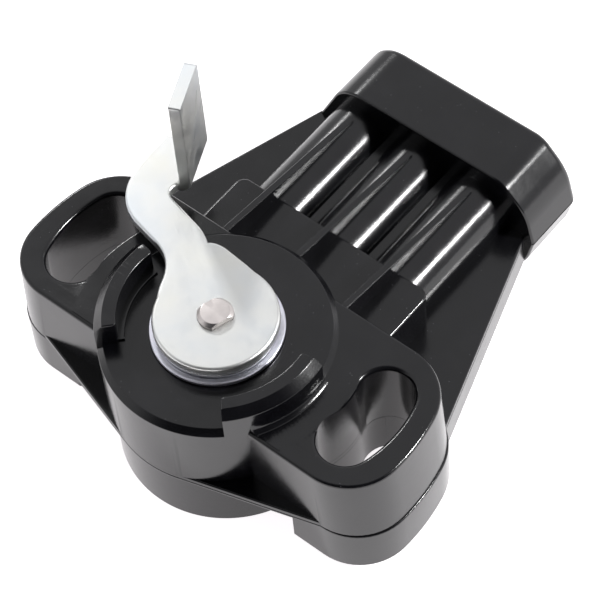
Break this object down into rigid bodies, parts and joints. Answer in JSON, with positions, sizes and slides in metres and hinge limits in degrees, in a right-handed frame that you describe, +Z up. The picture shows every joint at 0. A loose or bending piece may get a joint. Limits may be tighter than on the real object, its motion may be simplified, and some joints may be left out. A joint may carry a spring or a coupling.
{
  "type": "rotary throttle position sensor",
  "caption": "Rotary throttle position sensor: a bent steel lever on a round black housing with slotted ears, ribbed tubes and a keyed plug socket.",
  "frame": {"origin": "where the shaft axis meets the flat base of the round housing", "axes": "+Z runs up the shaft from the base to the lever, +Y runs from the shaft to the connector, +X points to the right ear seen from above with the connector away"},
  "size_m": [0.1064, 0.1139, 0.0713],
  "materials": {
    "housing_nylon": "glossy black glass-filled nylon",
    "zinc_plate": "satin bright zinc plate",
    "bright_steel": "polished steel",
    "pale_washer": "pale grey satin",
    "shaft_steel": "turned steel, faintly pink",
    "spring_steel": "oil-darkened spring steel",
    "bronze": "sintered bronze",
    "black_rubber": "soft matt rubber",
    "red_seal": "soft matt silicone",
    "blue_seal": "soft matt silicone",
    "board_green": "matt laminate",
    "carbon_track": "matt carbon ink",
    "tin_plate": "tin plate",
    "rotor_plastic": "natural moulded plastic",
    "wiper_alloy": "bright spring alloy",
    "screw_steel": "zinc plated steel"
  },
  "bodies": {
    "housing": {"upper_housing": "housing_nylon", "lower_cover": "housing_nylon", "perimeter_seal": "red_seal", "shaft_seal": "black_rubber", "upper_bushing": "bronze", "lower_bushing": "bronze", "return_spring": "spring_steel", "resistor_board": "board_green", "track_inner": "carbon_track", "track_outer": "carbon_track", "terminal_left": "tin_plate", "terminal_centre": "tin_plate", "terminal_right": "tin_plate", "connector_seal": "blue_seal", "cover_screw_1": "screw_steel", "cover_screw_2": "screw_steel", "cover_screw_3": "screw_steel", "cover_screw_4": "screw_steel"},
    "lever": {"lever_arm": "zinc_plate", "lever_washer": "bright_steel", "thrust_washer": "pale_washer", "rotor_shaft": "shaft_steel", "retaining_clip": "spring_steel", "rotor": "rotor_plastic", "wiper_inner": "wiper_alloy", "wiper_outer": "wiper_alloy"}
  },
  "joints": [
    {"name": "lever_turn", "type": "hinge", "parent": "housing", "child": "lever", "pos_m": [0, 0, 0.03], "axis": [0, 0, -1], "range_deg": [0, 60], "stiffness_Nm_per_rad": 0.12, "springref_deg": -57.3}
  ]
}
